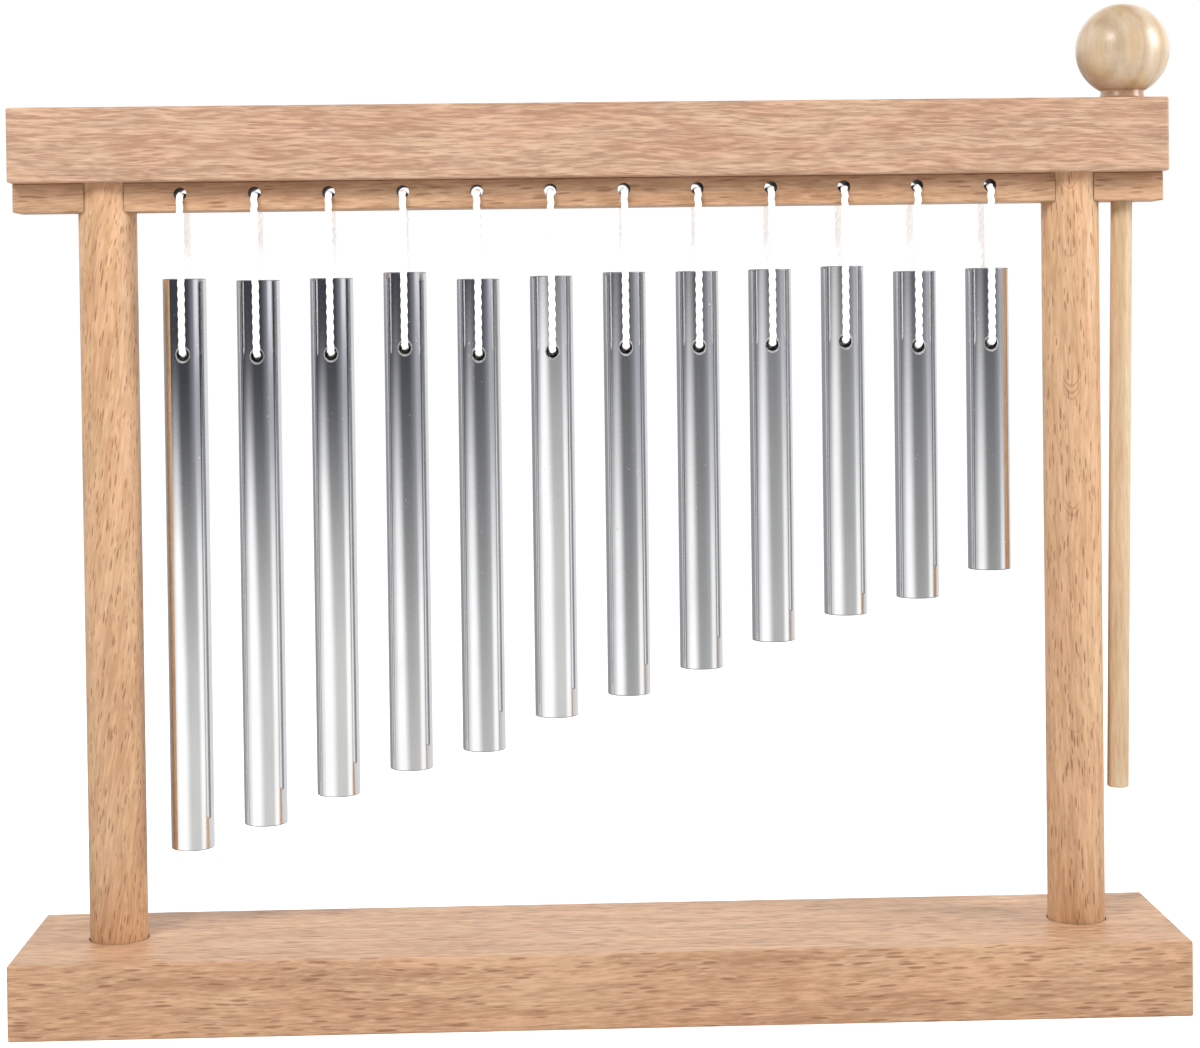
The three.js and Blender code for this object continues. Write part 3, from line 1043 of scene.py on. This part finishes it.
def cord_line(number):
    """Points in the YZ plane along the taut loop, from the knot round the rail and back to it."""
    tube_high = box_of("chime_tube_%02d" % number)[1]
    rail_high = box_of("hanging_rail")[1]
    hole = Vector((tube_high.y, tube_high.z - TUBE_HOLE_BELOW_TOP + CORD_HOLE_RADIUS))
    rail = Vector((rail_high.y, rail_hole_height() - CORD_HOLE_RADIUS))
    back = [hole, rail]
    edges = back + [Vector((-edge.x, edge.y)) for edge in reversed(back)]
    lie = CORD_RADIUS + CORD_CLEARANCE
    runs = [Vector((1, 0))] + [b - a for a, b in zip(edges, edges[1:])] + [Vector((1, 0))]
    angles = [math.atan2(run.y, run.x) for run in runs]
    for i in range(1, len(angles)):
        while angles[i] < angles[i - 1]:
            angles[i] += 2 * math.pi
    knot = Vector((0, hole.y - lie))
    points = [knot]
    for edge, first, last in zip(edges, angles, angles[1:]):
        for step in range(CORD_BEND_STEPS + 1):
            angle = first + (last - first) * step / CORD_BEND_STEPS
            aside = edge.x + lie * math.sin(angle)
            height = edge.y - lie * math.cos(angle)
            points.append(Vector((aside, height)))
    points.append(knot)
    return points


def cord_skeleton(number):
    """The loop's line and the knot's line as edges."""
    x = chime_x(number)
    line = [Vector((x, point.x, point.y)) for point in cord_line(number)]
    centre = line[0] - Vector((0, 0, KNOT_BELOW_LINE))
    knot = []
    for step in range(KNOT_STEPS):
        t = 2 * math.pi * step / KNOT_STEPS
        knot.append(centre + KNOT_SCALE * Vector((
            math.sin(t) + 2 * math.sin(2 * t),
            math.cos(t) - 2 * math.cos(2 * t),
            -math.sin(3 * t),
        )))
    edges = [(i, i + 1) for i in range(len(line) - 1)]
    first = len(line)
    edges += [(first + i, first + (i + 1) % KNOT_STEPS) for i in range(KNOT_STEPS)]
    mesh = bpy.data.meshes.new("cord line")
    mesh.from_pydata(line + knot, edges, [])
    return mesh


def mark_outside(cord):
    """Marks how far each vertex is out of the bore or tube, from 0 inside to 1 outside, where the
    cord's painted glow shows.
    """
    starts = 5 * MM
    fade = 1 * MM
    marks = cord.attributes.new("outside", "FLOAT", "POINT").data
    for vertex, mark in zip(cord.vertices, marks):
        mark.value = min(max((abs(vertex.co.y) - starts) / fade, 0.0), 1.0)


def make_cords(material):
    tree = cord_maker()
    for number in range(1, CHIMES + 1):
        node = "chime_cord_%02d" % number
        name = node + "_laid"
        cord = made_by(tree, name, cord_skeleton(number), {
            "Radius": CORD_RADIUS,
            "Lay": CORD_LAY,
            "Step": CORD_STEP,
            "Groove": STRAND_GROOVE,
            "Snaking": CORD_SNAKING,
            "Material": material,
        })
        mark_outside(cord)
        piece = show(name, cord, material, None, "white_cord", node)
        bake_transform(piece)


# The mallet

def mallet_place():
    """From the underside of the ball's foot, upright, to its place on the beam."""
    beam_top = box_of("top_beam")[1].z
    beam_middle = (box_of("hanging_rail")[0].z + beam_top) / 2
    height = beam_top + MALLET_ABOVE_BEAM + BALL_FOOT_RADIUS * math.sin(MALLET_LEAN)
    x = MALLET_BORE_X + math.tan(MALLET_LEAN) * (height - beam_middle)
    return Matrix.Translation((x, 0, height)) @ Matrix.Rotation(MALLET_LEAN, 4, "Y")


def ball_profile(radius):
    """Half the outline of the ball and its short foot, from the foot's underside up."""
    foot_angle = math.asin(BALL_FOOT_RADIUS / radius)
    centre = BALL_FOOT_HEIGHT + radius * math.cos(foot_angle)
    profile = [(0, 0)]
    profile += rounded(BALL_FOOT_RADIUS + BALL_FOOT_ROUND, 0, -BALL_FOOT_ROUND)
    profile.append((BALL_FOOT_RADIUS, 0.5 * BALL_FOOT_HEIGHT))
    for ring in range(BALL_RINGS):
        angle = foot_angle + (math.pi - foot_angle) * ring / BALL_RINGS
        profile.append((radius * math.sin(angle), centre - radius * math.cos(angle)))
    profile.append((0, centre + radius))
    return profile


def make_mallet(rod_material, ball_material):
    low, high = box_of("mallet_ball")
    rod_low, rod_high = box_of("mallet_rod")
    rod_radius = (rod_high.y - rod_low.y) / 2
    place = mallet_place()

    socket = (Vector((0, 0, 0)), rod_radius + SOCKET_CLEARANCE, 2 * BALL_SOCKET_DEPTH, (0, 0, 1))
    ball = turned("mallet_ball_wood", ball_profile((high.y - low.y) / 2))
    ball = soften(cut(ball, [socket]))
    ball.transform(place)
    show("mallet_ball_wood", ball, ball_material, "mallet", "mallet_wood", "mallet_ball")

    bottom = -(place.translation.z - rod_low.z) / math.cos(MALLET_LEAN)
    top = BALL_SOCKET_DEPTH - SOCKET_CLEARANCE
    rod = soften(dowel("mallet_rod_wood", rod_radius, bottom, top, ROD_END_BREAK))
    rod.transform(place)
    show("mallet_rod_wood", rod, rod_material, "mallet", "mallet_wood", "mallet_rod")


# Studio

def make_floor():
    shape = bmesh.new()
    half_width = 6
    bmesh.ops.create_grid(shape, x_segments=1, y_segments=1, size=half_width)
    floor = loose("studio_floor", as_mesh("studio_floor", shape))
    material, tree = empty_material("pale floor")
    seen = tree.nodes.new("ShaderNodeLightPath").outputs["Is Camera Ray"]
    surface_shader(tree, {
        "Base Color": grey(0.9),
        "Roughness": 0.9,
        "Emission Color": grey(1.0),
        "Emission Strength": maths(tree, "MULTIPLY", seen, FLOOR_GLOW),
    })
    floor.data.materials.append(material)
    floor.visible_glossy = False


def soft_box(name, spot, size, power, seen_in_metal=True):
    """A rectangular light that faces the middle of the chime."""
    light = bpy.data.lights.new(name, "AREA")
    light.shape = "RECTANGLE"
    light.size, light.size_y = size
    light.energy = power
    lamp = bpy.data.objects.new(name, light)
    scene.collection.objects.link(lamp)
    chime_middle = Vector((0, 0, 130 * MM))
    towards = chime_middle - Vector(spot)
    lamp.location = spot
    lamp.rotation_euler = towards.to_track_quat("-Z", "Y").to_euler()
    lamp.visible_glossy = seen_in_metal


def make_lights():
    soft_box("right window", spot=(0.93, -0.285, 0.55), size=(0.3, 0.5), power=6)
    soft_box("left lamp", spot=(-0.467, -0.625, 0.74), size=(0.24, 0.24), power=3.6)
    soft_box("front light", spot=(-0.15, -0.8, 1.15), size=(0.9, 0.4), power=7.6,
             seen_in_metal=False)


def make_room():
    """Pale to the camera and as light.

    In metal it shows a dark room ahead with a white table below, a window to the right, white
    behind and a dark ceiling. A direction rises by 0 at the horizon and by 1 overhead.
    """
    world = bpy.data.worlds.new("studio room")
    scene.world = world
    world.use_nodes = True
    tree = world.node_tree
    tree.nodes.clear()
    calc = partial(maths, tree)
    blend = partial(blend_colour, tree)
    way = tree.nodes.new("ShaderNodeTexCoord").outputs["Generated"]
    part = add(tree, "ShaderNodeSeparateXYZ", {"Vector": way}).outputs
    aside = calc("ARCTAN2", part["X"], calc("MULTIPLY", part["Y"], -1.0))

    def rise(start, end):
        return ramp(tree, part["Z"], start, end)

    def degrees(start, end, angle=aside):
        """A ramp over degrees to the right of straight ahead."""
        return ramp(tree, angle, math.radians(start), math.radians(end))

    # The dark room ahead, hazy on the right, over its pale lower wall
    dark_room = (0.052, 0.055, 0.068, 1)
    hazy_room = (0.44, 0.45, 0.5, 1)
    pale_below = (0.77, 0.77, 0.75, 1)
    haze = calc("MULTIPLY", degrees(12, 78), degrees(108, 84))
    room = blend(rise(-0.02, -0.2), blend(haze, dark_room, hazy_room), pale_below)

    # The white table's near edge slants in from the left
    slid = calc("MULTIPLY_ADD", rise(-0.04, -0.2), math.radians(-26), aside)
    table = calc("MULTIPLY", degrees(-99, -55), degrees(-18, -56, slid))
    table = calc("MULTIPLY", table, rise(-0.01, -0.115))
    room = blend(table, room, grey(1.3))

    # The window, dim at the sill and bright above and below it
    sill = (0.42, 0.43, 0.48, 1)
    under_sill = (1.25, 1.25, 1.22, 1)
    sky = (0.95, 0.95, 1.0, 1)
    window_light = blend(rise(-0.04, -0.13), sill, under_sill)
    window_light = blend(rise(-0.03, 0.0), window_light, sky)
    window_middle = math.radians(70)
    from_window = calc("ABSOLUTE", calc("SUBTRACT", aside, window_middle))
    room = blend(degrees(24, 4, from_window), room, window_light)

    # The walls at the sides, the white behind and the dark ceiling
    right_wall = (0.85, 0.85, 0.87, 1)
    left_wall = (0.36, 0.36, 0.38, 1)
    ceiling = (0.08, 0.08, 0.09, 1)
    behind = ramp(tree, part["Y"], -0.1, 0.4)
    room = blend(degrees(100, 125), room, right_wall)
    room = blend(degrees(-100, -125), room, left_wall)
    room = blend(calc("MULTIPLY", behind, rise(0.0, 0.1)), room, grey(1.35))
    room = blend(rise(0.55, 0.8), room, ceiling)

    light = blend(behind, grey(ROOM_LIGHT), grey(1.0))
    rays = tree.nodes.new("ShaderNodeLightPath").outputs
    colour = blend(rays["Is Glossy Ray"], light, room)
    colour = blend(rays["Is Camera Ray"], colour, grey(1.05))
    background = add(tree, "ShaderNodeBackground", {"Color": colour, "Strength": 1.0})
    output = tree.nodes.new("ShaderNodeOutputWorld")
    tree.links.new(background.outputs[0], output.inputs[0])


def make_camera():
    """Straight on, a little above the middle, with the frame lowered by the shift."""
    image_width = 1200
    focal_pixels = 2397.75
    lowered_pixels = 169
    yaw = math.radians(1.86)
    pitch = math.radians(1.0)
    roll = math.radians(0.73)
    eye = Vector((-20.01 * MM, -670.57 * MM, 193.03 * MM))
    camera = bpy.data.objects.new("camera", bpy.data.cameras.new("camera"))
    scene.collection.objects.link(camera)
    camera.data.sensor_width = 36
    camera.data.lens = focal_pixels / image_width * camera.data.sensor_width
    camera.data.shift_y = -lowered_pixels / image_width
    camera.data.clip_start = 50 * MM
    ahead = Vector((
        math.sin(yaw) * math.cos(pitch),
        math.cos(yaw) * math.cos(pitch),
        -math.sin(pitch),
    ))
    right = Vector((math.cos(yaw), -math.sin(yaw), 0))
    up = right.cross(ahead)
    turned_right = right * math.cos(roll) - up * math.sin(roll)
    turned_up = right * math.sin(roll) + up * math.cos(roll)
    axes = Matrix((turned_right, turned_up, -ahead)).transposed().to_4x4()
    camera.matrix_world = Matrix.Translation(eye) @ axes
    scene.camera = camera


# Put together

make_camera()
make_base(beech_base_board())
make_beam(beech_beam())
make_rail(beech_rail())
make_posts((beech_post(), figured_beech_post()))
make_tubes(polished_aluminium())
make_cords(white_laid_cord())
make_mallet(birch_rod(), maple_ball())
make_floor()
make_room()
make_lights()
scene.view_settings.view_transform = "Standard"
